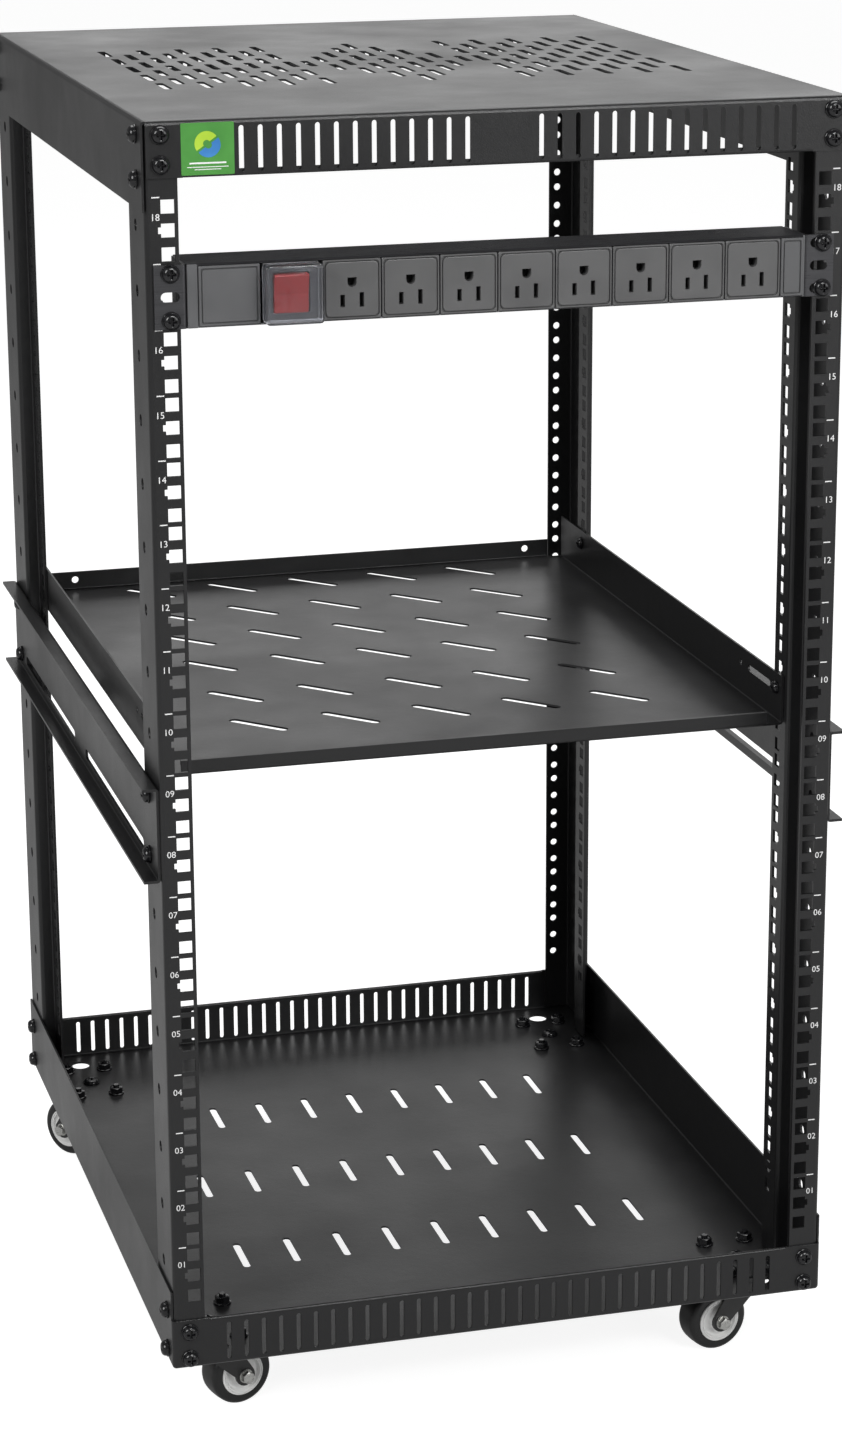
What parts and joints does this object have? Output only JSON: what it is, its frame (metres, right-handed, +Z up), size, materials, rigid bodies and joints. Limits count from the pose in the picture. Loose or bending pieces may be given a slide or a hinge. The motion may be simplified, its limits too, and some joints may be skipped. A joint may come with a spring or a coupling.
{
  "type": "four post open frame rack",
  "caption": "Open frame equipment rack with square-hole posts, vented cover, base tray, shelf on side rails, rack power strip and swivel casters.",
  "frame": {"origin": "on the floor under the middle of the rack", "axes": "+X right, +Z up; the front of the rack, with the power strip, faces -Y"},
  "size_m": [0.5206, 0.6442, 0.9685],
  "materials": {
    "cover_paint": "satin black powder coat",
    "base_paint": "satin black powder coat",
    "post_paint": "satin black powder coat",
    "shelf_paint": "satin black powder coat",
    "rail_paint": "satin black powder coat",
    "strip_anodised": "black anodised",
    "outlet_plastic": "black",
    "plate_plastic": "black",
    "rocker_red": "translucent red",
    "cover_clear": "clear plastic",
    "caster_black": "black",
    "caster_zinc": "zinc",
    "rim_grey": "light grey",
    "tyre_rubber": "black"
  },
  "bodies": {
    "frame": {"base_tray": "base_paint", "caster_front_left_plate": "caster_black", "caster_front_right_plate": "caster_black", "caster_rear_left_plate": "caster_black", "caster_rear_right_plate": "caster_black", "pdu_ear_left": "strip_anodised", "pdu_ear_right": "strip_anodised", "pdu_end_plate": "plate_plastic", "pdu_housing": "strip_anodised", "pdu_label_plate": "plate_plastic", "pdu_outlet_1": "outlet_plastic", "pdu_outlet_2": "outlet_plastic", "pdu_outlet_3": "outlet_plastic", "pdu_outlet_4": "outlet_plastic", "pdu_outlet_5": "outlet_plastic", "pdu_outlet_6": "outlet_plastic", "pdu_outlet_7": "outlet_plastic", "pdu_outlet_8": "outlet_plastic", "post_front_left": "post_paint", "post_front_right": "post_paint", "post_rear_left": "post_paint", "post_rear_right": "post_paint", "shelf_rail_left": "rail_paint", "shelf_rail_right": "rail_paint", "shelf_tray": "shelf_paint", "switch_bezel": "plate_plastic", "top_cover": "cover_paint"},
    "switch_rocker": {"switch_rocker": "rocker_red"},
    "switch_cover": {"switch_cover": "cover_clear"},
    "caster_front_left_swivel": {"caster_front_left_fork": "caster_black", "caster_front_left_axle": "caster_zinc"},
    "caster_front_left_wheel": {"caster_front_left_rim": "rim_grey", "caster_front_left_tyre": "tyre_rubber"},
    "caster_front_right_swivel": {"caster_front_right_fork": "caster_black", "caster_front_right_axle": "caster_zinc"},
    "caster_front_right_wheel": {"caster_front_right_rim": "rim_grey", "caster_front_right_tyre": "tyre_rubber"},
    "caster_rear_left_swivel": {"caster_rear_left_fork": "caster_black", "caster_rear_left_axle": "caster_zinc"},
    "caster_rear_left_wheel": {"caster_rear_left_rim": "rim_grey", "caster_rear_left_tyre": "tyre_rubber"},
    "caster_rear_right_swivel": {"caster_rear_right_fork": "caster_black", "caster_rear_right_axle": "caster_zinc"},
    "caster_rear_right_wheel": {"caster_rear_right_rim": "rim_grey", "caster_rear_right_tyre": "tyre_rubber"}
  },
  "joints": [
    {"name": "caster_front_left_swivel", "type": "hinge", "parent": "frame", "child": "caster_front_left_swivel", "pos_m": [-0.209, -0.23885, 0.055], "axis": [0, 0, 1], "continuous": true},
    {"name": "caster_front_left_roll", "type": "hinge", "parent": "caster_front_left_swivel", "child": "caster_front_left_wheel", "pos_m": [-0.18796, -0.23242, 0.025], "axis": [-0.2924, 0.9563, 0], "continuous": true},
    {"name": "caster_front_right_swivel", "type": "hinge", "parent": "frame", "child": "caster_front_right_swivel", "pos_m": [0.209, -0.23885, 0.055], "axis": [0, 0, 1], "continuous": true},
    {"name": "caster_front_right_roll", "type": "hinge", "parent": "caster_front_right_swivel", "child": "caster_front_right_wheel", "pos_m": [0.18748, -0.24342, 0.025], "axis": [0.2079, -0.9781, 0], "continuous": true},
    {"name": "caster_rear_left_swivel", "type": "hinge", "parent": "frame", "child": "caster_rear_left_swivel", "pos_m": [-0.209, 0.25315, 0.055], "axis": [0, 0, 1], "continuous": true},
    {"name": "caster_rear_left_roll", "type": "hinge", "parent": "caster_rear_left_swivel", "child": "caster_rear_left_wheel", "pos_m": [-0.22254, 0.27049, 0.025], "axis": [-0.788, -0.6157, 0], "continuous": true},
    {"name": "caster_rear_right_swivel", "type": "hinge", "parent": "frame", "child": "caster_rear_right_swivel", "pos_m": [0.209, 0.25315, 0.055], "axis": [0, 0, 1], "continuous": true},
    {"name": "caster_rear_right_roll", "type": "hinge", "parent": "caster_rear_right_swivel", "child": "caster_rear_right_wheel", "pos_m": [0.22702, 0.26577, 0.025], "axis": [-0.5736, 0.8192, 0], "continuous": true},
    {"name": "switch_press", "type": "hinge", "parent": "frame", "child": "switch_rocker", "pos_m": [-0.15, -0.30235, 0.85105], "axis": [-1, 0, 0], "range_deg": [0, 14]},
    {"name": "switch_cover_hinge", "type": "hinge", "parent": "frame", "child": "switch_cover", "pos_m": [-0.15, -0.31255, 0.86915], "axis": [-1, 0, 0], "range_deg": [0, 100]}
  ]
}
